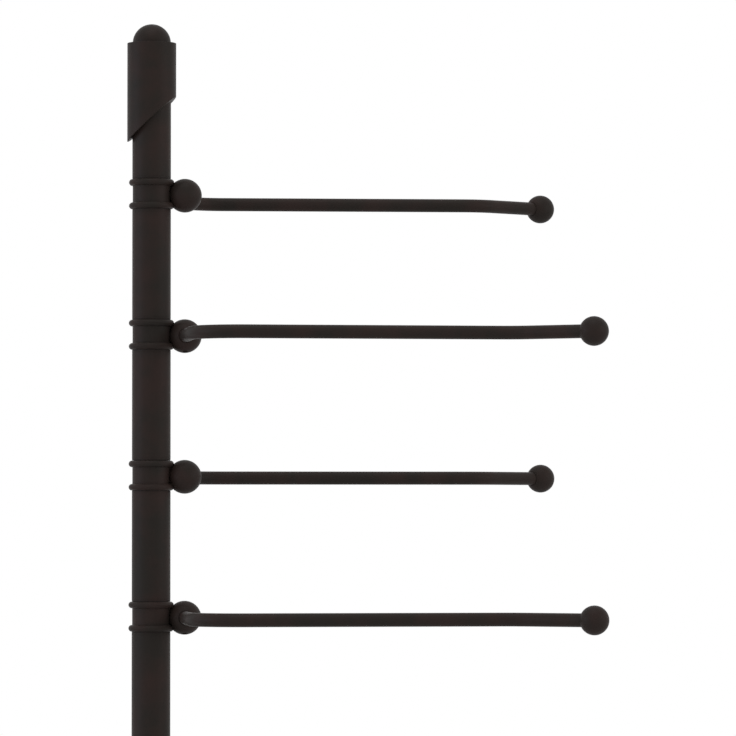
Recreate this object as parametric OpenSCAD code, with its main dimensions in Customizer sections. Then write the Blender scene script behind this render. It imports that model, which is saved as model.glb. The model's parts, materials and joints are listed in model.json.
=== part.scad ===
// Free-standing towel stand with four swivelling arms, in millimetres.
// The origin is on the floor under the middle of the post, +Z is up and +X is the way the arms reach.
// Arms are counted from the top. Odd arms bow out to +Y and even arms to -Y.

/* [Stand] */
// Overall height, from the floor to the top of the dome
stand_h = 1244.6; // [1150:0.1:1400]
// Height of the rim under the dome above the highest arm
top_reach = 125.6; // [120:0.1:180]
// Height from one arm to the next
arm_pitch = 115.8; // [85:0.1:160]

/* [Post] */
// Outer diameter of the post tubes
post_d = 31.75; // [31:0.05:36]
// Wall of the post tubes
post_wall = 1.6; // [1.2:0.1:2.4]
// Diameter of the threaded rod that clamps the post together
tie_d = 10; // [8:0.5:12]
// How deep each spigot sits in its tube
spigot_l = 14; // [8:0.5:24]
// Thickness of the flanges between tube and collar
flange_t = 1.2; // [0.8:0.1:2.5]

/* [Swivel collar] */
// Diameter of the round beads, which are centred on the surface of the post
bead_d = 5.4; // [4:0.1:7]
// Height from one bead to the other
bead_pitch = 19.2; // [16:0.1:26]
// How far the band between the beads lies inside the surface of the post
band_step = 0.33; // [0.1:0.01:0.8]
// How much is faced off the crests of the beads at the ends of the collar
end_step = 0.1; // [0.05:0.05:0.3]
// Diameter of the journal that the collar swivels on
journal_d = 22; // [18:0.5:23]
// Wall of the bush in the collar
bush_wall = 1.5; // [1:0.1:2]
// Thickness of the thrust washers
washer_t = 0.8; // [0.5:0.1:1.5]
// How far the thrust washers lie inside the surface of the post
washer_step = 0.1; // [0.05:0.05:0.5]

/* [Pivot ball] */
// Diameter of the ball that joins the arm to the collar
pivot_ball_d = 27.8; // [25:0.1:32]
// Distance from the axis of the post to the middle of the ball
pivot_reach = 27.5; // [26:0.1:28.9]
// How far the ball sits below the middle of its collar
ball_drop = 1; // [0:0.1:2]
// Width of the key between the beads, which keeps the ball from turning on its collar
key_w = 6; // [4:0.5:9]
// Diameter of the countersunk screw that holds the ball
ball_screw_d = 5; // [4:0.5:6]
// Diameter of the head of that screw
ball_screw_head_d = 9; // [8:0.5:11]
// Thickness of metal left between that screw and the tenon of the rod
screw_stop = 1.2; // [0.8:0.1:2]
// Diameter of the grub screws
grub_d = 4; // [3:0.5:5]
// Length of the grub screws in the balls
grub_l = 8; // [5:0.5:9]
// Depth of the hexagon sockets in the screws
key_depth = 1.6; // [1:0.1:2.5]

/* [Arm rod] */
// Diameter of the rod
arm_d = 11.11; // [9:0.01:13]
// From the middle of the ball to the corner of the first bend
stub_l = 113.5; // [80:0.5:150]
// From the corner of the first bend to the corner of the end bend
run_l = 259.5; // [180:0.5:340]
// From the corner of the end bend to the middle of the end ball
tip_l = 72; // [50:0.5:110]
// Angle of the first bend, in degrees
first_bend = 91.8; // [85:0.1:100]
// Angle of the end bend, in degrees
end_bend = 38; // [20:0.5:60]
// Radius of both bends, to the middle of the rod
bend_r = 40; // [30:0.5:55]
// Diameter of the threaded tenon at each end
tenon_d = 7; // [6:0.1:8]
// How far a tenon runs past the middle of its ball
tenon_past = 2; // [0:0.5:4]
// Depth of the spot face that the shoulder of the rod sits in
seat_depth = 1.5; // [0.8:0.1:2.5]
// Diameter of the ball on the free end
end_ball_d = 23.9; // [20:0.1:28]

/* [Top] */
// Diameter of the dome
dome_d = 31.4; // [29:0.1:31.7]
// Wall of the sleeve
sleeve_wall = 4.1; // [3:0.1:6]
// Height of the sleeve on its long side
sleeve_l = 81.7; // [60:0.1:100]
// Angle of the cut through the sleeve, from level, in degrees
cut_angle = 43; // [20:1:50]
// Heading of the short side of the sleeve, in degrees from the way the arms reach
cut_heading = -7; // [-90:1:90]
// Height of the grub screw in the sleeve, below the rim
sleeve_screw_drop = 20; // [10:1:35]
// Length of the plug in the upper tube
top_plug_l = 22; // [18:1:30]
// Thickness of the flange on that plug
plug_flange_t = 3; // [1.5:0.5:5]
// Across the flats of both nuts
nut_af = 16; // [15:0.5:18]
// Height of both nuts
nut_h = 8; // [6:0.5:9]
// Thickness of the washers under them
nut_washer_t = 1.6; // [1:0.1:2.5]
// How far those washers reach past the corners of the nuts
washer_rim = 0.8; // [0.4:0.1:1.2]
// How far the top nut lies below the rim
nut_sink = 1; // [0.5:0.5:2]
// How far the rod reaches into the dome
finial_grip = 8; // [5:0.5:10]

/* [Base] */
// Diameter of the base
base_d = 254; // [220:1:320]
// Height of the level edge of the base
rim_h = 10; // [8:0.5:14]
// Height of the land that the post stands on
base_h = 26; // [22:0.5:34]
// Diameter of that land
land_d = 72; // [66:1:90]
// Width of the level step inside the edge
step_w = 6; // [4:0.5:12]
// Radius of the edge of the cover
edge_r = 3; // [2:0.5:5]
// Thickness of the spun cover
cover_t = 1.5; // [1:0.1:2.5]
// Thickness of the pad under the base
pad_t = 2; // [1.5:0.1:4]
// Diameter of the pocket for the nut under the base
pocket_d = 32; // [28:1:44]
// Height of the end of the tie rod above the pad
tie_lift = 1.5; // [1:0.5:3]
// How far the tie rod stands out of the nut under the base
tie_proud = 1; // [0.5:0.5:3]
// Diameter of the foot of the trim ring
foot_d = 58; // [50:1:64]
// Thickness of the foot of the trim ring
foot_t = 5; // [4:0.5:8]
// Wall of the trim ring above its foot
foot_wall = 3; // [2:0.5:5]
// Height of the trim ring up to the middle of its bead
foot_ring_h = 14; // [10:0.5:24]

/* [Clearances] */
// Gap all round between a spigot, plug or screw and its seat
fit_gap = 0.03; // [0.01:0.01:0.1]
// Gap all round between the bush and the journal it turns on
run_gap = 0.05; // [0.02:0.01:0.1]
// Play above each collar
end_play = 0.2; // [0.1:0.05:0.4]
// Gap all round between the tie rod and what it passes through
tie_gap = 0.2; // [0.1:0.05:0.5]
// Gap all round between the sleeve and the post
sleeve_gap = 0.15; // [0.05:0.05:0.3]
// Gap between the cover and the weight
cover_gap = 0.3; // [0.1:0.1:1]
// Gap all round the top nut, for the socket that tightens it
socket_gap = 1.5; // [1.3:0.1:2]

/* [Hidden] */
arms = 4;
post_r = post_d / 2;
tube_r = post_r - post_wall;
spigot_r = tube_r - fit_gap;
tie_hole_r = tie_d / 2 + tie_gap;

bead_r = bead_d / 2;
band_r = post_r - band_step;
collar_h = bead_pitch + bead_d - 2 * end_step;
journal_r = journal_d / 2;
bush_r = journal_r + run_gap + bush_wall;
collar_bore_r = bush_r + fit_gap;
washer_r = post_r - washer_step;
washer_hole_r = journal_r + tie_gap;

// Heights at one collar, from the middle of its ball
collar_mid = ball_drop;
collar_low = collar_mid - collar_h / 2;
collar_top = collar_mid + collar_h / 2;
journal_low = collar_low - washer_t;
journal_top = collar_top + end_play + washer_t;
flange_low = journal_low - flange_t;
flange_top = journal_top + flange_t;

// Heights above the floor
rim_z = stand_h - dome_d / 2;
top_nut_z = rim_z - nut_h - nut_sink;
top_washer_z = top_nut_z - nut_washer_t;
nut_r = nut_af / 2 / cos(30);
nut_pocket_r = nut_r + socket_gap;
tie_low = pad_t + tie_lift;
tie_top = rim_z + finial_grip;
base_nut_z = tie_low + tie_proud;
base_washer_z = base_nut_z + nut_h;
pocket_top = base_washer_z + nut_washer_t;

function arm_z(n) = rim_z - top_reach - (n - 1) * arm_pitch;

// Pivot ball and the screw through the wall of the collar
pivot_ball_r = pivot_ball_d / 2;
screw_head_x = collar_bore_r + fit_gap;
screw_head_rim = 0.2;
screw_cone_h = (ball_screw_head_d - ball_screw_d) / 2;
screw_end_x = pivot_reach - tenon_d / 2 - screw_stop;
screw_key_af = 3;

// Plan of the arm: Y is the way the rod leaves the ball, and the run turns back towards X
arm_r = arm_d / 2;
run_heading = 90 - first_bend;
tip_heading = run_heading + end_bend;
function heading(a) = [cos(a), sin(a)];
corner_1 = [pivot_reach, stub_l];
corner_2 = corner_1 + run_l * heading(run_heading);
end_point = corner_2 + tip_l * heading(tip_heading);
first_setback = bend_r * tan(first_bend / 2);
end_setback = bend_r * tan(end_bend / 2);
end_ball_r = end_ball_d / 2;
lap = 0.5;
bend_thin = 0.05;
function shoulder(ball_r) = sqrt(ball_r ^ 2 - arm_r ^ 2) - seat_depth;
pivot_shoulder = shoulder(pivot_ball_r);
grub_y = (pivot_shoulder - tenon_past) / 2;
end_shoulder = shoulder(end_ball_r);

sleeve_bore_r = post_r + sleeve_gap;
sleeve_r = sleeve_bore_r + sleeve_wall;

// The cover is a rim, a level step and a shallow dome that rises to the land
base_r = base_d / 2;
dome_foot_r = base_r - edge_r - step_w;
land_r = land_d / 2;
rise = base_h - rim_h;
dome_sink = (dome_foot_r ^ 2 - land_r ^ 2 - rise ^ 2) / (2 * rise);
dome_r = sqrt(dome_foot_r ^ 2 + dome_sink ^ 2);
cover_lift = pad_t / 2;

$fn = 96;
fine = 720;
// Every cut runs this far past the faces that it opens
over = 1;
bronze = "#2f2926";
steel = "#8f9296";
iron = "#3a3a3c";
nylon = "#1f1f21";
felt = "#26262a";

module tube(outer_r, inner_r, h) {
    difference() {
        cylinder(r = outer_r, h = h);
        translate([0, 0, -over]) cylinder(r = inner_r, h = h + 2 * over);
    }
}

module post_tube(low, top) {
    color(bronze) translate([0, 0, low]) tube(post_r, tube_r, top - low);
}

module hex_prism(af, h) {
    cylinder(r = af / 2 / cos(30), h = h, $fn = 6);
}

// Half of the outline under the cover, lowered by drop and drawn in by the same amount
module base_outline(drop, low) {
    translate([0, low]) square([base_r - drop, rim_h - edge_r - low]);
    translate([0, low]) square([base_r - edge_r, rim_h - low - drop]);
    intersection() {
        translate([base_r - edge_r, rim_h - edge_r]) circle(r = edge_r - drop);
        square([base_r, base_h]);
    }
    intersection() {
        translate([0, rim_h - dome_sink]) circle(r = dome_r - drop, $fn = fine);
        translate([0, rim_h - edge_r]) square([dome_foot_r, base_h]);
        square([base_r, base_h - drop]);
    }
}

module floor_pad() {
    color(felt) cylinder(r = base_r - cover_t - step_w, h = pad_t);
}

module base_weight() {
    color(iron) difference() {
        rotate_extrude() {
            base_outline(cover_t + cover_gap, pad_t);
            translate([0, pad_t]) square([foot_d / 2, base_h - cover_t - pad_t]);
        }
        cylinder(d = pocket_d, h = pocket_top);
        cylinder(r = tie_hole_r, h = base_h);
    }
}

module base_cover() {
    color(bronze) difference() {
        rotate_extrude() base_outline(0, cover_lift);
        rotate_extrude() base_outline(cover_t, 0);
        cylinder(r = tie_hole_r, h = base_h + over);
    }
}

// Trim ring with a rounded foot and one bead like those of the collars
module base_collar() {
    ring_bore_r = post_r + fit_gap;
    wall_r = post_r + foot_wall;
    color(bronze) translate([0, 0, base_h]) rotate_extrude() difference() {
        union() {
            square([foot_d / 2 - foot_t / 2, foot_t]);
            translate([foot_d / 2 - foot_t / 2, foot_t / 2]) circle(d = foot_t);
            square([wall_r, foot_ring_h]);
            translate([wall_r, foot_ring_h]) circle(r = bead_r);
        }
        translate([0, -over]) square([ring_bore_r, foot_ring_h + bead_d + 2 * over]);
        translate([0, foot_ring_h + bead_r - end_step]) square([foot_d, bead_d]);
    }
}

module foot_plug() {
    color(steel) translate([0, 0, base_h]) tube(spigot_r, tie_hole_r, spigot_l + flange_t);
}

module lower_tube() {
    post_tube(base_h, arm_z(arms) + flange_low);
}

// Tube between arm n and the arm below it
module spacer_tube(n) {
    post_tube(arm_z(n + 1) + flange_top, arm_z(n) + flange_low);
}

module upper_tube() {
    post_tube(arm_z(1) + flange_top, rim_z - plug_flange_t);
}

module tie_rod() {
    color(steel) translate([0, 0, tie_low]) cylinder(d = tie_d, h = tie_top - tie_low);
}

module nut() {
    color(steel) difference() {
        hex_prism(nut_af, nut_h);
        translate([0, 0, -over]) cylinder(r = tie_d / 2 + fit_gap, h = nut_h + 2 * over);
    }
}

module clamp_washer() {
    color(steel) tube(nut_r + washer_rim, tie_hole_r, nut_washer_t);
}

// Spigot in the tube below, flange and journal
module hub() {
    color(bronze) difference() {
        union() {
            translate([0, 0, flange_low - spigot_l]) cylinder(r = spigot_r, h = spigot_l);
            translate([0, 0, flange_low]) cylinder(r = post_r, h = flange_t);
            translate([0, 0, journal_low]) cylinder(r = journal_r, h = journal_top - journal_low);
        }
        translate([0, 0, flange_low - spigot_l - over])
            cylinder(r = tie_hole_r, h = journal_top - flange_low + spigot_l + 2 * over);
    }
}

module hub_cap() {
    color(bronze) difference() {
        translate([0, 0, journal_top]) union() {
            cylinder(r = post_r, h = flange_t);
            cylinder(r = spigot_r, h = flange_t + spigot_l);
        }
        translate([0, 0, journal_top - over]) cylinder(r = tie_hole_r, h = flange_t + spigot_l + 2 * over);
    }
}

module thrust_washers() {
    color(nylon) {
        translate([0, 0, journal_low]) tube(washer_r, washer_hole_r, washer_t);
        translate([0, 0, journal_top - washer_t]) tube(washer_r, washer_hole_r, washer_t);
    }
}

// Half outline of the collar, filled to the axis and swelled by grow
module collar_outline(grow) {
    translate([0, collar_low]) square([post_r, end_step + bead_r]);
    translate([0, collar_top - end_step - bead_r]) square([post_r, end_step + bead_r]);
    translate([0, collar_low]) square([band_r + grow, collar_h]);
    for (s = [-1, 1]) translate([post_r, collar_mid + s * bead_pitch / 2]) circle(r = bead_r + grow);
}

module swivel_collar() {
    color(bronze) difference() {
        rotate_extrude() intersection() {
            collar_outline(0);
            translate([0, collar_low]) square([post_r + bead_d, collar_h]);
        }
        translate([0, 0, collar_low - over]) cylinder(r = collar_bore_r, h = collar_h + 2 * over);
        screw_shape(fit_gap, journal_r);
    }
}

module collar_bush() {
    bush_step = 0.2;
    color(nylon) translate([0, 0, collar_low + bush_step])
        tube(bush_r, journal_r + run_gap, collar_h - 2 * bush_step);
}

// Countersunk screw along X, swelled by grow, with its head carried back to head_x
module screw_shape(grow, head_x) {
    translate([head_x, 0, 0]) rotate([0, 90, 0])
        cylinder(d = ball_screw_head_d + 2 * grow, h = screw_head_x - head_x + screw_head_rim);
    translate([screw_head_x + screw_head_rim, 0, 0]) rotate([0, 90, 0])
        cylinder(d1 = ball_screw_head_d + 2 * grow, d2 = ball_screw_d + 2 * grow, h = screw_cone_h);
    translate([screw_head_x, 0, 0]) rotate([0, 90, 0])
        cylinder(d = ball_screw_d + 2 * grow, h = screw_end_x + grow - screw_head_x);
}

module ball_screw() {
    color(steel) difference() {
        screw_shape(0, screw_head_x);
        translate([screw_head_x - over, 0, 0]) rotate([0, 90, 0]) hex_prism(screw_key_af, key_depth + over);
    }
}

// Hole for the end of the rod in a ball, along X with the ball at the origin
module rod_seat(shoulder_x) {
    rotate([0, 90, 0]) {
        translate([0, 0, shoulder_x]) cylinder(r = arm_r + fit_gap, h = pivot_ball_d);
        translate([0, 0, -tenon_past - fit_gap])
            cylinder(r = tenon_d / 2 + fit_gap, h = shoulder_x + tenon_past + fit_gap + over);
    }
}

module pivot_ball() {
    color(bronze) difference() {
        union() {
            translate([pivot_reach, 0, 0]) rotate([0, 90, 0]) sphere(r = pivot_ball_r);
            translate([0, -key_w / 2, collar_mid - bead_pitch / 2])
                cube([post_r + bead_r, key_w, bead_pitch]);
        }
        rotate_extrude() collar_outline(fit_gap);
        screw_shape(fit_gap, screw_head_x);
        translate([pivot_reach, 0, 0]) rotate([0, 0, 90]) rod_seat(pivot_shoulder);
        translate([pivot_reach, grub_y, -pivot_ball_d]) cylinder(d = grub_d + 2 * fit_gap, h = pivot_ball_d);
    }
}

module grub_screw(l) {
    color(steel) difference() {
        cylinder(d = grub_d, h = l);
        translate([0, 0, -over]) hex_prism(grub_d / 2, key_depth + over);
    }
}

module ball_grub_screw() {
    translate([pivot_reach, grub_y, -tenon_d / 2 - fit_gap - grub_l]) grub_screw(grub_l);
}

module rod_length(start, angle, l, r) {
    translate([start.x, start.y, 0]) rotate([0, 0, angle]) rotate([0, 90, 0]) cylinder(r = r, h = l);
}

// The bends are a hair thinner than the straight lengths and reach a little way into them
module rod_bend(centre, start_angle, angle) {
    lap_angle = lap / bend_r * 180 / PI;
    translate([centre.x, centre.y, 0]) rotate([0, 0, start_angle - lap_angle])
        rotate_extrude(angle = angle + 2 * lap_angle) translate([bend_r, 0]) circle(r = arm_r - bend_thin);
}

// Stub, bend, run, bend and tip, with a tenon in each ball
module arm_rod() {
    run_dir = heading(run_heading);
    run_start = corner_1 + first_setback * run_dir;
    run_end = corner_2 - end_setback * run_dir;
    tip_start = corner_2 + end_setback * heading(tip_heading);
    stub_end = corner_1.y - first_setback;
    tip_run = tip_l - end_setback;
    tenon_start = end_point - (end_shoulder + lap) * heading(tip_heading);
    color(bronze) {
        rod_length([pivot_reach, -tenon_past], 90, pivot_shoulder + tenon_past + lap, tenon_d / 2);
        rod_length([pivot_reach, pivot_shoulder], 90, stub_end - pivot_shoulder, arm_r);
        rod_bend([pivot_reach + bend_r, stub_end], 90 + run_heading, first_bend);
        rod_length(run_start, run_heading, norm(run_end - run_start), arm_r);
        rod_bend(run_end + bend_r * heading(run_heading + 90), run_heading - 90, end_bend);
        rod_length(tip_start, tip_heading, tip_run - end_shoulder, arm_r);
        rod_length(tenon_start, tip_heading, end_shoulder + lap + tenon_past, tenon_d / 2);
    }
}

module end_ball() {
    color(bronze) translate([end_point.x, end_point.y, 0]) difference() {
        sphere(r = end_ball_r);
        rotate([0, 0, tip_heading + 180]) rod_seat(end_shoulder);
    }
}

// Plug with a flange on the end of the upper tube and a pocket for the nut
module top_plug() {
    color(steel) difference() {
        union() {
            translate([0, 0, rim_z - plug_flange_t]) cylinder(r = post_r, h = plug_flange_t);
            translate([0, 0, rim_z - top_plug_l]) cylinder(r = spigot_r, h = top_plug_l);
        }
        translate([0, 0, top_washer_z]) cylinder(r = nut_pocket_r, h = top_plug_l);
        translate([0, 0, rim_z - top_plug_l - over]) cylinder(r = tie_hole_r, h = top_plug_l);
    }
}

module dome_finial() {
    color(bronze) translate([0, 0, rim_z]) difference() {
        sphere(d = dome_d);
        translate([0, 0, -dome_d]) cylinder(d = 2 * dome_d, h = dome_d);
        translate([0, 0, -over]) cylinder(r = tie_d / 2 + fit_gap, h = finial_grip + fit_gap + over);
    }
}

module top_sleeve() {
    middle_drop = sleeve_l - sleeve_r * tan(cut_angle);
    color(bronze) translate([0, 0, rim_z]) difference() {
        translate([0, 0, -sleeve_l - over]) tube(sleeve_r, sleeve_bore_r, sleeve_l + over);
        translate([0, 0, -middle_drop]) rotate([0, 0, cut_heading]) rotate([0, -cut_angle, 0])
            translate([-sleeve_l, -sleeve_l, -2 * sleeve_l]) cube(2 * sleeve_l);
        translate([0, 0, -sleeve_screw_drop]) rotate([-90, 0, 0])
            cylinder(d = grub_d + 2 * fit_gap, h = sleeve_r + over);
    }
}

module sleeve_screw() {
    translate([0, post_r + fit_gap + sleeve_wall, rim_z - sleeve_screw_drop])
        rotate([90, 0, 0]) grub_screw(sleeve_wall);
}

floor_pad();
base_weight();
base_cover();
base_collar();
foot_plug();
lower_tube();
tie_rod();
translate([0, 0, base_washer_z]) clamp_washer();  // base_washer
translate([0, 0, base_nut_z]) nut();  // base_nut
upper_tube();
top_plug();
translate([0, 0, top_washer_z]) clamp_washer();  // top_washer
translate([0, 0, top_nut_z]) nut();  // top_nut
dome_finial();
top_sleeve();
sleeve_screw();
for (n = [1:arms - 1]) spacer_tube(n);
for (n = [1:arms]) translate([0, 0, arm_z(n)]) {
    hub();
    hub_cap();
    thrust_washers();
    swivel_collar();
    collar_bush();
    ball_screw();
    mirror([0, n % 2 == 1 ? 0 : 1, 0]) {
        pivot_ball();
        ball_grub_screw();
        arm_rod();
        end_ball();
    }
}
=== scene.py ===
import json
import math

import bmesh
import bpy
import numpy as np
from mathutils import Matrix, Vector


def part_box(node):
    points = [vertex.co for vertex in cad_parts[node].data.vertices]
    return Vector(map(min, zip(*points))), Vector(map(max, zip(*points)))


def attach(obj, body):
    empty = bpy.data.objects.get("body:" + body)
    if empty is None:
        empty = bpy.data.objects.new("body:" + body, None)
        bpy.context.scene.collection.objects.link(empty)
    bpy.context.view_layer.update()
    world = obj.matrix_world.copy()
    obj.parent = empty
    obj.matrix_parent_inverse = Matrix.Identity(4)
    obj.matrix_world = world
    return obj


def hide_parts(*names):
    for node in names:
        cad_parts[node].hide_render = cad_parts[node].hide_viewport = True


# A free-standing towel stand with four swivelling bars, dressed round its CAD frame.
# Everything is in metres, +Z is up, and the origin is on the floor under the middle of the post.
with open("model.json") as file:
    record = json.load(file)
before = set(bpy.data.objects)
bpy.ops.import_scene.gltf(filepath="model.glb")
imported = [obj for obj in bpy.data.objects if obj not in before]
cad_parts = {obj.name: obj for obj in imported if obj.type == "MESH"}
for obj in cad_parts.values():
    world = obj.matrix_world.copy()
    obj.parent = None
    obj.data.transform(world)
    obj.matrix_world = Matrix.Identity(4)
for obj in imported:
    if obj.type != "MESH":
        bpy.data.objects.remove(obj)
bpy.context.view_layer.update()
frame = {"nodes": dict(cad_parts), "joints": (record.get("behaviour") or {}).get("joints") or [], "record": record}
nodes = frame["nodes"]
bodyOf = {n: body for body, names in frame["record"]["behaviour"]["bodies"].items() for n in names}
slotOf = {row["node"]: row["material_slot"] for row in frame["record"]["subparts"]}
arms = range(1, len(frame["joints"]) + 1)
mm = 0.001
print("frame loaded:", len(nodes), "nodes and", len(arms), "arms")


# An sRGB hex value as linear red, green and blue: c / 12.92 up to 0.04045, ((c + 0.055) / 1.055) ** 2.4 above
def linearColour(hexValue):
    c = np.array([int(hexValue[i:i + 2], 16) for i in (1, 3, 5)]) / 255
    return (*np.where(c <= 0.04045, c / 12.92, ((c + 0.055) / 1.055) ** 2.4), 1.0)


# Adds one node to a tree, with its settings, the values of its inputs and what is linked to them
def addNode(tree, kind, values=None, links=None, **settings):
    node = tree.nodes.new("ShaderNode" + kind)
    for name, value in settings.items():
        setattr(node, name, value)
    for socket, value in (values or {}).items():
        node.inputs[socket].default_value = value
    for socket, source in (links or {}).items():
        tree.links.new(source, node.inputs[socket])
    return node


# What the two noises of every finish share: their fractal detail, and the span of each that is stretched out
noiseSettings = {"patchDetail": 4.0, "patchSpan": (0.35, 0.65), "grainDetail": 2.0, "grainSpan": (0.3, 0.7)}


# A finish in two tones that lie in soft patches, with a roughness that follows the grain and a bump from it.
# Sizes are real: a noise of scale 1 / size has one patch or grain in that many metres.
def makeFinish(name, look):
    material = bpy.data.materials.new(name)
    material.use_nodes = True
    tree = material.node_tree
    shader = tree.nodes["Principled BSDF"]
    place = addNode(tree, "TexCoord").outputs["Object"]
    patches = addNode(tree, "TexNoise", {"Scale": 1 / look["patchSize"],
                                         "Detail": noiseSettings["patchDetail"]}, {"Vector": place})
    grain = addNode(tree, "TexNoise", {"Scale": 1 / look["grainSize"],
                                       "Detail": noiseSettings["grainDetail"]}, {"Vector": place})
    low, high = noiseSettings["patchSpan"]
    share = addNode(tree, "MapRange", {"From Min": low, "From Max": high}, {"Value": patches.outputs[0]})
    # In a colour mix, sockets 6 and 7 are the two colours and output 2 is the mixed one
    tones = addNode(tree, "Mix", {6: linearColour(look["tone"]), 7: linearColour(look["patchTone"])},
                    {0: share.outputs[0]}, data_type="RGBA")
    low, high = noiseSettings["grainSpan"]
    smooth, coarse = look["roughness"]
    rough = addNode(tree, "MapRange", {"From Min": low, "From Max": high, "To Min": smooth, "To Max": coarse},
                    {"Value": grain.outputs[0]})
    bump = addNode(tree, "Bump", {"Strength": look["bumpStrength"], "Distance": look["bumpDepth"]},
                   {"Height": grain.outputs[0]})
    tree.links.new(tones.outputs[2], shader.inputs["Base Color"])
    tree.links.new(rough.outputs[0], shader.inputs["Roughness"])
    tree.links.new(bump.outputs[0], shader.inputs["Normal"])
    shader.inputs["Metallic"].default_value = look["metallic"]
    shader.inputs["Specular IOR Level"].default_value = look["specular"]
    return material


# Oil-rubbed bronze: plated, darkened and lacquered. Nearly black, warm brown in the light, with a soft sheen.
bronzeLook = {"tone": "#272320", "patchTone": "#2f2522", "patchSize": 24 * mm, "grainSize": 1.2 * mm,
              "roughness": (0.42, 0.52), "bumpStrength": 0.25, "bumpDepth": 0.02 * mm,
              "metallic": 0.0, "specular": 0.07}
# Zinc-plated steel: turned, then plated. Grey with a blue cast and a satin, slightly cloudy shine.
zincLook = {"tone": "#8b8f95", "patchTone": "#9b9fa3", "patchSize": 6 * mm, "grainSize": 0.4 * mm,
            "roughness": (0.3, 0.42), "bumpStrength": 0.2, "bumpDepth": 0.01 * mm,
            "metallic": 1.0, "specular": 0.5}
# Black oxide on hardened steel: thin and oily, so the screws are black with a dull metal shine.
oxideLook = {"tone": "#232426", "patchTone": "#2d2d2f", "patchSize": 3 * mm, "grainSize": 0.3 * mm,
             "roughness": (0.35, 0.5), "bumpStrength": 0.2, "bumpDepth": 0.01 * mm,
             "metallic": 1.0, "specular": 0.5}
# Cast iron in black primer: sand-cast, so the skin is pitted and dull.
ironLook = {"tone": "#2b2b2d", "patchTone": "#38373a", "patchSize": 12 * mm, "grainSize": 1.6 * mm,
            "roughness": (0.65, 0.85), "bumpStrength": 0.9, "bumpDepth": 0.25 * mm,
            "metallic": 0.0, "specular": 0.4}
# Black nylon: turned from rod, smooth and waxy. Oil from the bronze stains it brown.
nylonLook = {"tone": "#241f1c", "patchTone": "#2a2220", "patchSize": 8 * mm, "grainSize": 0.5 * mm,
             "roughness": (0.55, 0.65), "bumpStrength": 0.15, "bumpDepth": 0.01 * mm,
             "metallic": 0.0, "specular": 0.1}
# Moulded rubber sheet: matt charcoal with a pebbled skin.
rubberLook = {"tone": "#202022", "patchTone": "#27272a", "patchSize": 30 * mm, "grainSize": 1.5 * mm,
              "roughness": (0.75, 0.9), "bumpStrength": 0.8, "bumpDepth": 0.2 * mm,
              "metallic": 0.0, "specular": 0.3}
finishOf = {"dark_bronze": makeFinish("oilRubbedBronze", bronzeLook),
            "plain_steel": makeFinish("zincPlatedSteel", zincLook),
            "black_steel": makeFinish("blackOxideSteel", oxideLook),
            "cast_iron": makeFinish("primedCastIron", ironLook),
            "black_nylon": makeFinish("turnedBlackNylon", nylonLook),
            "pad_rubber": makeFinish("pebbledRubber", rubberLook)}
for name, node in nodes.items():
    node.data.materials.clear()
    node.data.materials.append(finishOf[slotOf[name]])
print("finishes made:", len(finishOf))

# What all meshes share: points closer than weld are one, and an edge is sharp where its faces turn by more
# than the sharp angle, which is lower on a piece that has been cut. A drilled hole has drillColumns sides.
meshSettings = {"weld": 0.0001 * mm, "sharpAngle": 40, "cutSharpAngle": 35, "drillColumns": 48}


# The middle of a node's box, and half of the box's height
def boxMiddle(node):
    low, high = (np.array(corner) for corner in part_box(node))
    return (low + high) / 2, (high[2] - low[2]) / 2


# Points on an arc, centre + radius (cos a, sin a), with a in degrees
def arcPoints(centre, radius, start, end, steps):
    a = np.radians(np.linspace(start, end, steps + 1))
    return list(np.array(centre) + radius * np.stack([np.cos(a), np.sin(a)], -1))


# Rounds the corners of an outline. A corner of radius r that turns through t takes r tan(t / 2) from each of
# its sides, and its arc is centre + r (sin a into - cos a inner), with a from 0 to t. A spare point beside
# each end of the arc keeps the arc's shading off the flat sides. It is r / 2 away from the arc, or half the
# way to the middle of the side where that is less. A radius of 0 leaves the corner.
def roundedOutline(corners, radii, steps=4):
    blocks = []
    for i, radius in enumerate(radii):
        here = np.asarray(corners[i], float)
        if radius == 0:
            blocks.append(here[..., None, :])
            continue
        into, away = here - corners[i - 1], corners[(i + 1) % len(corners)] - here
        intoLength, awayLength = (np.linalg.norm(side, axis=-1, keepdims=True) for side in (into, away))
        into, away = into / intoLength, away / awayLength
        turn = np.arctan2(into[..., 0] * away[..., 1] - into[..., 1] * away[..., 0],
                          (into * away).sum(-1))[..., None]
        inner = np.sign(turn) * np.stack([-into[..., 1], into[..., 0]], -1)
        taken = radius * np.tan(np.abs(turn) / 2)
        centre = here - taken * into + radius * inner
        a = (np.abs(turn) * np.linspace(0, 1, steps + 1))[..., None]
        outwards = np.sin(a) * into[..., None, :] - np.cos(a) * inner[..., None, :]
        arc = centre[..., None, :] + radius * outwards
        spareInto = taken + np.clip(intoLength / 2 - taken, 0, radius) / 2
        spareAway = taken + np.clip(awayLength / 2 - taken, 0, radius) / 2
        blocks += [(here - spareInto * into)[..., None, :], arc, (here + spareAway * away)[..., None, :]]
    return np.concatenate(blocks, axis=-2)


# A turned shape: an outline of (radius, height) carried round an axis that is level or upright,
# P(v, u) = origin + height(v) axis + radius(v) (cos u side + sin u across), with side and across square to it
def turned(outline, columns, origin=(0, 0, 0), axis=(0, 0, 1)):
    axis = np.array(axis, float)
    side = np.cross(axis, (0, 0, 1) if abs(axis[2]) < 0.5 else (0, 1, 0))
    side /= np.linalg.norm(side)
    u = np.linspace(0, 2 * np.pi, columns, endpoint=False)[:, None]
    ring = np.cos(u) * side + np.sin(u) * np.cross(axis, side)
    return np.array(origin) + outline[:, None, 1:] * axis + outline[:, None, :1] * ring


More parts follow.
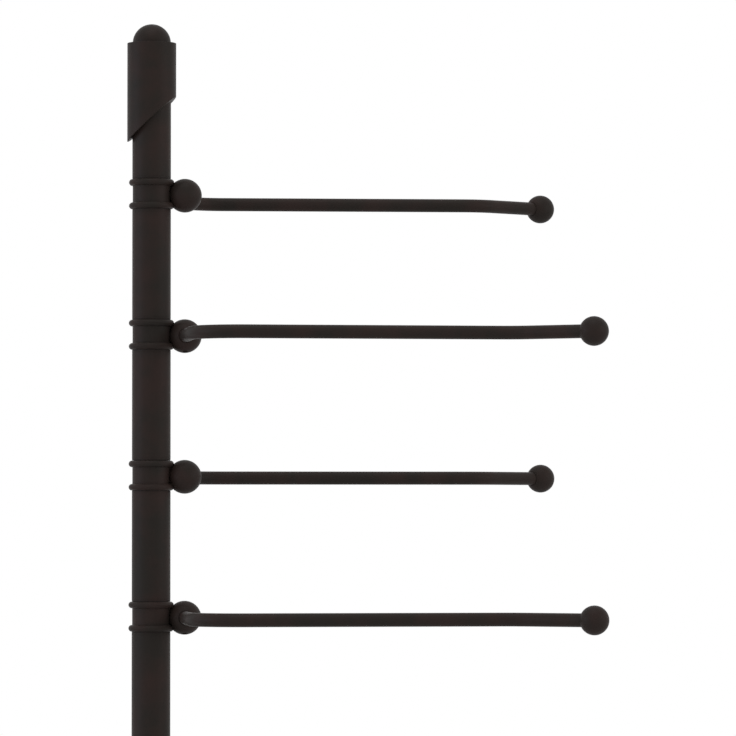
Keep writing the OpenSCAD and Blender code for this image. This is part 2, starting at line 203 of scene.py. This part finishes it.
# A closed mesh from a grid of points whose columns meet, and whose rows meet too unless they end in poles.
# Its faces are turned outwards by the sign of the volume that they enclose: the sum over the faces
# (a, b, c, d) of a x b . c + a x c . d.
def gridMesh(name, points, rowsMeet=True):
    rows, columns = points.shape[:2]
    i = np.arange(rows if rowsMeet else rows - 1)[:, None]
    j = np.arange(columns)[None, :]
    nextRow, nextColumn = (i + 1) % rows * columns, (j + 1) % columns
    faces = np.stack([i * columns + j, i * columns + nextColumn, nextRow + nextColumn, nextRow + j], -1)
    faces = faces.reshape(-1, 4)
    flat = points.reshape(-1, 3)
    a, b, c, d = (flat[faces[:, k]] for k in range(4))
    if (np.cross(a, b) * c + np.cross(a, c) * d).sum() < 0:
        faces = faces[:, ::-1]
    mesh = bpy.data.meshes.new(name)
    mesh.from_pydata(flat.tolist(), [], faces.tolist())
    work = bmesh.new()
    work.from_mesh(mesh)
    bmesh.ops.remove_doubles(work, verts=work.verts, dist=meshSettings["weld"])
    work.to_mesh(mesh)
    work.free()
    return mesh


# Shades a mesh smooth, but for edges where its faces turn by more than an angle in degrees
def shadeMesh(mesh, angle):
    mesh.shade_smooth()
    mesh.set_sharp_from_angle(angle=math.radians(angle))


# Puts a grid of points into the scene in place of a CAD node, on that node's body and in its finish
def addPiece(name, node, points, rowsMeet=True):
    mesh = gridMesh(name, points, rowsMeet)
    piece = bpy.data.objects.new(name, mesh)
    bpy.context.scene.collection.objects.link(piece)
    shadeMesh(mesh, meshSettings["sharpAngle"])
    mesh.materials.append(finishOf[slotOf[node]])
    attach(piece, bodyOf[node])
    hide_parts(node)
    return piece


# Takes a turned shape away from a piece, and deletes the cutter
def cutTurned(piece, outline, columns, origin, axis):
    cutter = bpy.data.objects.new("cutter", gridMesh("cutter", turned(outline, columns, origin, axis), False))
    bpy.context.scene.collection.objects.link(cutter)
    cut = piece.modifiers.new("cut", "BOOLEAN")
    cut.object = cutter
    cut.operation = "DIFFERENCE"
    cut.solver = "EXACT"
    bpy.context.view_layer.update()
    mesh = bpy.data.meshes.new_from_object(piece.evaluated_get(bpy.context.evaluated_depsgraph_get()))
    piece.modifiers.clear()
    piece.data = mesh
    bpy.data.objects.remove(cutter)
    shadeMesh(mesh, meshSettings["cutSharpAngle"])


# Drills a round hole through a piece: a rectangle of radius by |end - start|, turned round the line from
# start to end
def drillHole(piece, start, end, radius):
    start, end = np.array(start), np.array(end)
    length = np.linalg.norm(end - start)
    outline = np.array([(0, 0), (radius, 0), (radius, length), (0, length)])
    cutTurned(piece, outline, meshSettings["drillColumns"], start, (end - start) / length)


# The post: drawn tubes with deburred ends
tubeSettings = {"wall": 1.6 * mm, "edge": 0.12 * mm, "columns": 256}
tubes = {"lowerTube": "lower_tube", "upperTube": "upper_tube",
         **{f"spacerTube{n}": f"spacer_tube_{n}" for n in arms[:-1]}}
for name, node in tubes.items():
    low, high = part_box(node)
    outer, inner = high.x, high.x - tubeSettings["wall"]
    corners = np.array([(inner, low.z), (outer, low.z), (outer, high.z), (inner, high.z)])
    outline = roundedOutline(corners, [tubeSettings["edge"]] * len(corners))
    addPiece(name, node, turned(outline, tubeSettings["columns"]))
print("post made:", len(tubes), "tubes")

# Swivel collars: turned rings with two beads, a band between them and a small fillet beside the band. A bead
# ends where the face at the end of the collar cuts its crest, and where it meets the band.
collarSettings = {"bead": 2.7 * mm, "beadPitch": 19.2 * mm, "bandStep": 0.33 * mm, "endStep": 0.1 * mm,
                  "bore": 12.58 * mm, "fillet": 0.25 * mm, "edge": 0.2 * mm, "beadSteps": 28, "columns": 256}
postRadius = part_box("lower_tube")[1].x
bead, beadRise = collarSettings["bead"], collarSettings["beadPitch"] / 2
crestAngle = math.degrees(math.asin(1 - collarSettings["endStep"] / bead))
bandAngle = math.degrees(math.acos(-collarSettings["bandStep"] / bead))


# Distance from a collar's surface, on its (radius, height) section: the least of the distances to the band's
# rectangle and to the two circles of the beads, negative inside
def collarDistance(radius, height):
    overSide = radius - postRadius + collarSettings["bandStep"]
    overEnd = np.abs(height) - beadRise - bead + collarSettings["endStep"]
    outside = np.hypot(np.maximum(overSide, 0), np.maximum(overEnd, 0))
    toBand = outside + np.minimum(np.maximum(overSide, overEnd), 0)
    toBeads = np.hypot(radius - postRadius, np.abs(height) - beadRise) - bead
    return np.minimum(toBand, toBeads)


for n in arms:
    node = f"swivel_collar_{n}"
    low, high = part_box(node)
    middle = (low.z + high.z) / 2
    bore, steps = collarSettings["bore"], collarSettings["beadSteps"]
    lower = arcPoints((postRadius, middle - beadRise), bead, -crestAngle, bandAngle, steps)
    upper = arcPoints((postRadius, middle + beadRise), bead, -bandAngle, crestAngle, steps)
    corners = [np.array((bore, low.z)), *lower, *upper, np.array((bore, high.z))]
    radii = np.zeros(len(corners))
    radii[[0, -1]] = collarSettings["edge"]
    radii[[len(lower), len(lower) + 1]] = collarSettings["fillet"]
    addPiece(f"swivelCollar{n}", node, turned(roundedOutline(corners, radii), collarSettings["columns"]))
print("collars made:", len(arms))

# Balls and bars. Each bar has a shoulder and a threaded tenon at both ends, which seat in the balls.
# A pivot ball's rows stand at rowAngles from the way to the collar, closest where the key and the saddle end.
ballSettings = {"seatDepth": 1.5 * mm, "tenonPast": 2 * mm, "tenon": 3.5 * mm, "gap": 0.03 * mm,
                "mouth": 0.35 * mm, "seatCorner": 0.2 * mm, "sphereSteps": 90, "columns": 192,
                "key": 6 * mm, "keyFillet": 0.2 * mm, "saddleEdge": 0.25 * mm, "saddleSteps": 60,
                "seatColumns": 96, "grubRadius": 2.03 * mm, "leastSlant": 0.01,
                "rowAngles": (0, 28, 42, 180), "rowsBetween": (8, 56, 92)}
barSettings = {"stub": 113.5 * mm, "firstBend": 91.8, "endBend": 38, "bendRadius": 40 * mm,
               "shoulder": 0.4 * mm, "tenonRoot": 0.2 * mm, "tenonTip": 0.6 * mm, "rowStep": 1.5 * mm,
               "columns": 96}


# How far a bar's shoulder lies from the middle of its ball:
# root of (ball radius squared - bar radius squared) - depth of the spot face
def shoulderReach(ballRadius, barRadius):
    return math.sqrt(ballRadius ** 2 - barRadius ** 2) - ballSettings["seatDepth"]


# The seat of a bar in its ball, as corners (radius, height) round the bar's axis: the tenon's hole, from its
# end up to the shoulder, and the spot face out to the bar's radius + gap
def seatCorners(ballRadius, barRadius):
    hole, seat = ballSettings["tenon"] + ballSettings["gap"], barRadius + ballSettings["gap"]
    bottom = -ballSettings["tenonPast"] - ballSettings["gap"]
    shoulder = shoulderReach(ballRadius, barRadius)
    return [np.array(p) for p in ((0, bottom), (hole, bottom), (hole, shoulder), (seat, shoulder))]


# A ball with the seat for a bar, as an outline round the bar's axis: the seat, its mouth and the rest of the
# sphere, radius (cos a, sin a)
def ballOutline(ballRadius, barRadius):
    corners = seatCorners(ballRadius, barRadius)
    mouthAngle = math.degrees(math.acos(corners[-1][0] / ballRadius))
    corners += arcPoints((0, 0), ballRadius, mouthAngle, -90, ballSettings["sphereSteps"])
    corners[-1] = np.array((0, -ballRadius))
    radii = np.zeros(len(corners))
    radii[1:4] = ballSettings["seatCorner"]
    radii[4] = ballSettings["mouth"]
    return roundedOutline(corners, radii)


# What is cut out of a pivot ball for its bar, as an outline round the bar's axis: the seat, and a mouth that
# widens at 45 degrees
def seatOutline(ballRadius, barRadius):
    mouth = ballSettings["mouth"]
    corners = seatCorners(ballRadius, barRadius)
    seat = corners[-1][0]
    top = math.sqrt(ballRadius ** 2 - (seat + mouth) ** 2) - mouth
    past = ballSettings["seatDepth"] + mouth
    corners += [np.array(p) for p in ((seat, top), (seat + past, top + past), (0, top + past))]
    radii = np.zeros(len(corners))
    radii[1:4] = ballSettings["seatCorner"]
    return roundedOutline(corners, radii)


# The lesser of two lengths, rounded off where they are alike: min(a, b) - blend h ** 2 / 4,
# with h = 1 - |a - b| / blend, or 0 where that is negative
def smoothLeast(a, b, blend):
    h = np.maximum(blend - np.abs(a - b), 0) / blend
    return np.minimum(a, b) - h ** 2 * blend / 4


# A ball with the key that lies between the beads, as rays from its middle. A ray's angle a is counted from
# the way to the collar, and u goes round that way. Its length is the smooth greatest of the ball's radius
# and, on the collar's side, of the way out of the key: the least of half its width / sideways and its
# reach / upright, where sideways and upright count as leastSlant or more.
def keyedBall(ballRadius, centre, collarMiddle):
    angles = ballSettings["rowAngles"]
    spans = [np.linspace(low, high, count + 1)[1:] for low, high, count in
             zip(angles[:-1], angles[1:], ballSettings["rowsBetween"])]
    a = np.radians(np.concatenate([angles[:1], *spans]))[:, None]
    u = np.linspace(0, 2 * np.pi, ballSettings["columns"], endpoint=False)
    sideways, upright = np.sin(a) * np.cos(u), np.sin(a) * np.sin(u)
    reach = beadRise + np.sign(upright) * (collarMiddle - centre[2])
    key = np.minimum(ballSettings["key"] / 2 / np.maximum(np.abs(sideways), ballSettings["leastSlant"]),
                     reach / np.maximum(np.abs(upright), ballSettings["leastSlant"]))
    key = np.where(a < np.pi / 2, key, 0)
    lengths = -smoothLeast(-key, -ballRadius, ballSettings["keyFillet"])
    return centre + np.stack([-lengths * np.cos(a), lengths * sideways, lengths * upright], -1)


# Lets the collar's saddle into a ball. Along the ray from the ball's middle through each point, the distance
# to the collar is stepped off until the ray meets it, and the point goes no further out than there:
# new length = smooth least of (length, length to the collar).
def cutSaddle(points, centre, collarMiddle):
    rays = points - centre
    lengths = np.linalg.norm(rays, axis=-1)
    rays = rays / lengths[..., None]
    met = np.zeros_like(lengths)
    for step in range(ballSettings["saddleSteps"]):
        at = centre + met[..., None] * rays
        radius, height = np.hypot(at[..., 0], at[..., 1]), at[..., 2] - collarMiddle
        met += collarDistance(radius, height) - ballSettings["gap"]
    kept = smoothLeast(lengths, met, ballSettings["saddleEdge"])
    return centre + kept[..., None] * rays


# The lengths at which a bar's stub, first bend, run, end bend and tip begin and end, and its headings there.
# A bend takes radius tan(angle / 2) from both lengths beside it. The run and the tip are as long as it takes
# to get from the first corner to the end ball: run (cos, sin of its heading) + tip (cos, sin of its heading).
def barPlan(startX, end):
    firstBend, endBend = math.radians(barSettings["firstBend"]), math.radians(barSettings["endBend"])
    outward = math.pi / 2
    runHeading = outward - firstBend
    tipHeading = runHeading + endBend
    ways = np.array([(math.cos(a), math.sin(a)) for a in (runHeading, tipHeading)]).T
    runLength, tipLength = np.linalg.solve(ways, np.array(end) - (startX, barSettings["stub"]))
    firstCut, endCut = (barSettings["bendRadius"] * math.tan(bend / 2) for bend in (firstBend, endBend))
    lengths = (0, barSettings["stub"] - firstCut, barSettings["bendRadius"] * firstBend,
               runLength - firstCut - endCut, barSettings["bendRadius"] * endBend, tipLength - endCut)
    return np.cumsum(lengths), (outward, outward, runHeading, runHeading, tipHeading, tipHeading)


# A bar's outline as (radius, length along the bar): a tenon, a shoulder, the bar with a row at each row step
# and at each bend's ends, and the other shoulder and tenon
def barOutline(barRadius, firstShoulder, lastShoulder, breaks):
    tenon, past, rowStep = ballSettings["tenon"], ballSettings["tenonPast"], barSettings["rowStep"]
    rows = np.union1d(np.arange(firstShoulder + rowStep, lastShoulder - rowStep / 2, rowStep), breaks[1:-1])
    corners = [np.array(p) for p in (
        (0, -past), (tenon, -past), (tenon, firstShoulder), (barRadius, firstShoulder),
        *((barRadius, row) for row in rows),
        (barRadius, lastShoulder), (tenon, lastShoulder), (tenon, breaks[-1] + past), (0, breaks[-1] + past))]
    radii = np.zeros(len(corners))
    radii[[1, -2]] = barSettings["tenonTip"]
    radii[[2, -3]] = barSettings["tenonRoot"]
    radii[[3, -4]] = barSettings["shoulder"]
    return roundedOutline(corners, radii)


# The middle line of a bar and its headings at the given lengths. The heading changes evenly along each bend,
# and a step of length d that turns through t moves by d sin(t / 2) / (t / 2) along its middle heading.
def barLine(lengths, start, breaks, headings):
    heading = np.interp(lengths, breaks, headings)
    turn, middle = np.diff(heading), (heading[1:] + heading[:-1]) / 2
    moves = np.diff(lengths) * np.sinc(turn / 2 / np.pi)
    steps = moves[:, None] * np.stack([np.cos(middle), np.sin(middle)], -1)
    first = start + lengths[0] * np.array([math.cos(headings[0]), math.sin(headings[0])])
    return np.concatenate([first[None, :], first + np.cumsum(steps, axis=0)]), heading


# A bar: its outline along its middle line, P(s, v) = line(s) + radius(s) (cos v across(s) + sin v up).
# The line bows out to +Y, and bow is -1 where it is mirrored to -Y.
def barPoints(outline, pivot, bow, breaks, headings):
    line, heading = barLine(outline[:, 1], np.array((pivot[0], 0)), breaks, headings)
    v = np.linspace(0, 2 * np.pi, barSettings["columns"], endpoint=False)
    across = outline[:, :1] * np.cos(v)
    return np.stack([line[:, :1] - np.sin(heading)[:, None] * across,
                     bow * (line[:, 1:] + np.cos(heading)[:, None] * across),
                     pivot[2] + outline[:, :1] * np.sin(v)], -1)


for n in arms:
    collarMiddle = boxMiddle(f"swivel_collar_{n}")[0][2]
    barRadius = boxMiddle(f"arm_rod_{n}")[1]
    end, endRadius = boxMiddle(f"end_ball_{n}")
    # The key lengthens a pivot ball's box towards the post, so the ball's middle is counted from the other side
    pivot, pivotRadius = boxMiddle(f"pivot_ball_{n}")
    pivot[:2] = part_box(f"pivot_ball_{n}")[1].x - pivotRadius, 0
    bow = math.copysign(1, end[1])

    breaks, headings = barPlan(pivot[0], (end[0], end[1] * bow))
    lastShoulder = breaks[-1] - shoulderReach(endRadius, barRadius)
    outline = barOutline(barRadius, shoulderReach(pivotRadius, barRadius), lastShoulder, breaks)
    addPiece(f"bar{n}", f"arm_rod_{n}", barPoints(outline, pivot, bow, breaks, headings), False)

    towardsBar = (-math.cos(headings[-1]), -bow * math.sin(headings[-1]), 0)
    points = turned(ballOutline(endRadius, barRadius), ballSettings["columns"], end, towardsBar)
    addPiece(f"endBall{n}", f"end_ball_{n}", points, False)

    points = cutSaddle(keyedBall(pivotRadius, pivot, collarMiddle), pivot, collarMiddle)
    ball = addPiece(f"pivotBall{n}", f"pivot_ball_{n}", points, False)
    cutTurned(ball, seatOutline(pivotRadius, barRadius), ballSettings["seatColumns"], pivot, (0, bow, 0))
    grub, grubHalf = boxMiddle(f"grub_screw_{n}")
    drillHole(ball, grub - (0, 0, grubHalf + pivotRadius), (grub[0], grub[1], pivot[2]),
              ballSettings["grubRadius"])
print("arms made:", len(arms))

# The sleeve round the top of the post: a tube cut at a slant, with its grub screw at the back. The height of
# the cut is the middle height + slope times the distance towards the heading of the short side.
sleeveSettings = {"wall": 4.1 * mm, "cutAngle": 43, "cutHeading": -7, "edge": 0.3 * mm, "edgeSteps": 5,
                  "rows": 24, "columns": 256, "screwRadius": 2.03 * mm}
low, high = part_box("top_sleeve")
outer, rim = high.y, high.z
inner = outer - sleeveSettings["wall"]
u = np.linspace(0, 2 * np.pi, sleeveSettings["columns"], endpoint=False)
slope = math.tan(math.radians(sleeveSettings["cutAngle"]))
towardsShort = slope * np.cos(u - math.radians(sleeveSettings["cutHeading"]))
outerCut, innerCut = (low.z + outer * slope + radius * towardsShort for radius in (outer, inner))
rows = sleeveSettings["rows"]
share = np.linspace(0, 1, rows + 1)[:, None]
outerSide = np.stack([np.full((rows + 1, len(u)), outer), outerCut + share * (rim - outerCut)], -1)
innerSide = np.stack([np.full((rows + 1, len(u)), inner), rim + share * (innerCut - rim)], -1)
corners = [*outerSide, *innerSide]
radii = np.zeros(len(corners))
radii[[0, rows, rows + 1, -1]] = sleeveSettings["edge"]
outline = roundedOutline(corners, radii, sleeveSettings["edgeSteps"]).transpose(1, 0, 2)
points = np.stack([outline[..., 0] * np.cos(u), outline[..., 0] * np.sin(u), outline[..., 1]], -1)
sleeve = addPiece("topSleeve", "top_sleeve", points)
screw = boxMiddle("sleeve_screw")[0]
drillHole(sleeve, (screw[0], inner - sleeveSettings["edge"], screw[2]),
          (screw[0], outer + sleeveSettings["wall"], screw[2]), sleeveSettings["screwRadius"])

# The dome on top: a turned half ball with a blind hole for the tie rod
domeSettings = {"hole": 5.03 * mm, "holeDepth": 8.03 * mm, "edge": 0.3 * mm, "steps": 72, "columns": 192}
low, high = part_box("dome_finial")
hole, holeTop = domeSettings["hole"], low.z + domeSettings["holeDepth"]
corners = [np.array(p) for p in ((0, holeTop), (hole, holeTop), (hole, low.z))]
corners += arcPoints((0, low.z), high.x, 0, 90, domeSettings["steps"])
corners[-1] = np.array((0, high.z))
radii = np.zeros(len(corners))
radii[2:4] = domeSettings["edge"]
addPiece("domeFinial", "dome_finial", turned(roundedOutline(corners, radii), domeSettings["columns"]), False)
print("top made")

# The base: a spun cover, a turned trim ring round the foot of the post, and a rubber pad underneath
coverSettings = {"wall": 1.5 * mm, "edgeRadius": 3 * mm, "step": 6 * mm, "rimHeight": 10 * mm,
                 "land": 36 * mm, "hole": 5.2 * mm, "stepFillet": 0.8 * mm, "landFillet": 1.5 * mm,
                 "hem": 0.5 * mm, "edgeSteps": 5, "rimSteps": 8, "crownSteps": 40, "columns": 384}
low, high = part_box("base_cover")
baseRadius, baseTop = high.x, high.z
crownFoot = baseRadius - coverSettings["edgeRadius"] - coverSettings["step"]
rise = baseTop - coverSettings["rimHeight"]
sink = (crownFoot ** 2 - coverSettings["land"] ** 2 - rise ** 2) / (2 * rise)
crown = math.hypot(crownFoot, sink)


# Outline of one side of the cover, drawn in by drop: the rim up to its rounded edge, then after a level step
# the shallow crown, centre + (crown - drop) (cos a, sin a), and the land up to the hole
def coverSide(drop):
    edgeRadius, rimHeight = coverSettings["edgeRadius"], coverSettings["rimHeight"]
    footAngle = math.degrees(math.asin((sink - drop) / (crown - drop)))
    landAngle = math.degrees(math.asin((sink + rise - drop) / (crown - drop)))
    rimEdge = arcPoints((baseRadius - edgeRadius, rimHeight - edgeRadius), edgeRadius - drop, 0, 90,
                        coverSettings["rimSteps"])
    shallow = arcPoints((0, rimHeight - sink), crown - drop, footAngle, landAngle,
                        coverSettings["crownSteps"])
    return [np.array((baseRadius - drop, low.z)), *rimEdge, *shallow,
            np.array((coverSettings["hole"], baseTop - drop))]


# The crown's first corner comes after the foot of the rim and the corners of its rounded edge
corners = coverSide(0) + coverSide(coverSettings["wall"])[::-1]
crownFirst = coverSettings["rimSteps"] + 2
crownLast = crownFirst + coverSettings["crownSteps"]
radii = np.zeros(len(corners))
radii[[0, -1]] = coverSettings["hem"]
radii[[crownFirst, -1 - crownFirst]] = coverSettings["stepFillet"]
radii[[crownLast, -1 - crownLast]] = coverSettings["landFillet"]
outline = roundedOutline(corners, radii, coverSettings["edgeSteps"])
addPiece("baseCover", "base_cover", turned(outline, coverSettings["columns"]))

# The trim ring: a rounded foot, a wall round the post and a bead like those of the collars
trimSettings = {"footThickness": 5 * mm, "wall": 3 * mm, "height": 14 * mm, "gap": 0.03 * mm,
                "fillet": 1.5 * mm, "beadFillet": 0.3 * mm, "edge": 0.2 * mm, "edgeSteps": 5, "footSteps": 16,
                "columns": 256}
low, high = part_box("base_collar")
footRadius = trimSettings["footThickness"] / 2
wallRadius, boreRadius = postRadius + trimSettings["wall"], postRadius + trimSettings["gap"]
foot = arcPoints((high.x - footRadius, low.z + footRadius), footRadius, -90, 90, trimSettings["footSteps"])
ring = arcPoints((wallRadius, low.z + trimSettings["height"]), bead, -90, crestAngle,
                 collarSettings["beadSteps"])
corners = [np.array((boreRadius, low.z)), *foot,
           np.array((wallRadius, low.z + trimSettings["footThickness"])), *ring,
           np.array((boreRadius, high.z))]
radii = np.zeros(len(corners))
radii[[0, -1]] = trimSettings["edge"]
radii[len(foot) + 1] = trimSettings["fillet"]
radii[len(foot) + 2] = trimSettings["beadFillet"]
outline = roundedOutline(corners, radii, trimSettings["edgeSteps"])
addPiece("trimRing", "base_collar", turned(outline, trimSettings["columns"]))

# The pad: a rubber disc with rounded edges
padSettings = {"edge": 0.5 * mm, "edgeSteps": 6, "columns": 256}
low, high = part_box("floor_pad")
padRadius = high.x
corners = np.array([(0, low.z), (padRadius, low.z), (padRadius, high.z), (0, high.z)])
outline = roundedOutline(corners, [0, padSettings["edge"], padSettings["edge"], 0], padSettings["edgeSteps"])
addPiece("floorPad", "floor_pad", turned(outline, padSettings["columns"]), False)
print("base made")

# The studio: three soft lamps, a white surround and a pale floor that turns to plain white further out.
# A strength of 1 renders as white, and the surround lights the object at a lower one.
lampSettings = {"left": {"place": (-3.4, -0.5, 1.3), "size": 2.0, "power": 28, "colour": "#d8e8ff"},
                "right": {"place": (3.0, -1.6, 1.6), "size": 2.0, "power": 18, "colour": "#ffffff"},
                "above": {"place": (-0.2, -0.8, 4.2), "size": 2.0, "power": 22, "colour": "#ffffff"}}
studioSettings = {"lampsAim": (0.1, 0, 0.8), "surroundLight": 0.665, "whiteLight": 1.0, "white": "#ffffff"}
for name, lamp in lampSettings.items():
    data = bpy.data.lights.new(name, "AREA")
    data.size = lamp["size"]
    data.energy = lamp["power"]
    data.color = linearColour(lamp["colour"])[:3]
    light = bpy.data.objects.new(name, data)
    bpy.context.scene.collection.objects.link(light)
    light.location = lamp["place"]
    backwards = light.location - Vector(studioSettings["lampsAim"])
    light.rotation_euler = backwards.to_track_quat("Z", "Y").to_euler()


# 1 where the camera, a reflection or a clear body looks at the white, and 0 where it only lights the object:
# the greatest of the three kinds of ray
def seenShare(tree):
    rays = addNode(tree, "LightPath").outputs
    seen = addNode(tree, "Math", links={0: rays["Is Camera Ray"], 1: rays["Is Glossy Ray"]},
                   operation="MAXIMUM")
    seen = addNode(tree, "Math", links={0: seen.outputs[0], 1: rays["Is Transmission Ray"]},
                   operation="MAXIMUM")
    return seen.outputs[0]


world = bpy.data.worlds.new("studioWhite")
bpy.context.scene.world = world
world.use_nodes = True
tree = world.node_tree
level = addNode(tree, "MapRange", {"To Min": studioSettings["surroundLight"],
                                   "To Max": studioSettings["whiteLight"]}, {"Value": seenShare(tree)})
background = tree.nodes["Background"]
background.inputs["Color"].default_value = linearColour(studioSettings["white"])
tree.links.new(level.outputs[0], background.inputs["Strength"])

# Floor: a flat ring, P(r, u) = r (cos u, sin u, 0), from under the base outwards. Further out it turns white
# like the surround. From below it is clear, so the underside of the base can be seen.
floorSettings = {"radius": 6, "underPad": 2 * mm, "rows": 12, "columns": 96, "colour": "#f2f2f2",
                 "roughness": 0.9, "specular": 0.1, "fadeStart": 0.7, "fadeEnd": 2.4}
floorHole = padRadius - floorSettings["underPad"]
r = np.linspace(floorSettings["radius"], floorHole, floorSettings["rows"])[:, None]
u = np.linspace(0, 2 * np.pi, floorSettings["columns"], endpoint=False)
floorMesh = gridMesh("floor", np.stack([r * np.cos(u), r * np.sin(u), np.zeros((len(r), len(u)))], -1), False)
floor = bpy.data.objects.new("floor", floorMesh)
bpy.context.scene.collection.objects.link(floor)
floorMaterial = bpy.data.materials.new("paleFloor")
floorMaterial.use_nodes = True
tree = floorMaterial.node_tree
shader = tree.nodes["Principled BSDF"]
shader.inputs["Base Color"].default_value = linearColour(floorSettings["colour"])
shader.inputs["Roughness"].default_value = floorSettings["roughness"]
shader.inputs["Specular IOR Level"].default_value = floorSettings["specular"]
place = addNode(tree, "TexCoord").outputs["Object"]
distance = addNode(tree, "VectorMath", links={0: place}, operation="LENGTH")
fade = addNode(tree, "MapRange", {"From Min": floorSettings["fadeStart"],
                                  "From Max": floorSettings["fadeEnd"]},
               {"Value": distance.outputs["Value"]}, interpolation_type="SMOOTHSTEP")
whiteShare = addNode(tree, "Math", links={0: seenShare(tree), 1: fade.outputs[0]}, operation="MULTIPLY")
white = addNode(tree, "Emission", {"Color": linearColour(studioSettings["white"]),
                                   "Strength": studioSettings["whiteLight"]})
upper = addNode(tree, "MixShader", links={0: whiteShare.outputs[0], 1: shader.outputs[0],
                                          2: white.outputs[0]})
side = addNode(tree, "NewGeometry")
clear = addNode(tree, "BsdfTransparent")
both = addNode(tree, "MixShader", links={0: side.outputs["Backfacing"], 1: upper.outputs[0],
                                         2: clear.outputs[0]})
tree.links.new(both.outputs[0], tree.nodes["Material Output"].inputs["Surface"])
floorMesh.materials.append(floorMaterial)
print("studio made")

# The camera: a long lens about four metres in front, a little below the third bar and tilted up. Its heading
# is counted from +X and its tilt from level, both in degrees.
cameraSettings = {"place": (-0.2809, -4.1061, 0.8356), "heading": 83.605, "tilt": 1.749, "lens": 244.6,
                  "sensorWidth": 36}
cameraData = bpy.data.cameras.new("camera")
cameraData.lens = cameraSettings["lens"]
cameraData.sensor_width = cameraSettings["sensorWidth"]
camera = bpy.data.objects.new("camera", cameraData)
bpy.context.scene.collection.objects.link(camera)
camera.location = cameraSettings["place"]
camera.rotation_euler = (math.radians(90 + cameraSettings["tilt"]), 0,
                         math.radians(cameraSettings["heading"] - 90))
bpy.context.scene.camera = camera
bpy.context.scene.view_settings.view_transform = "Standard"
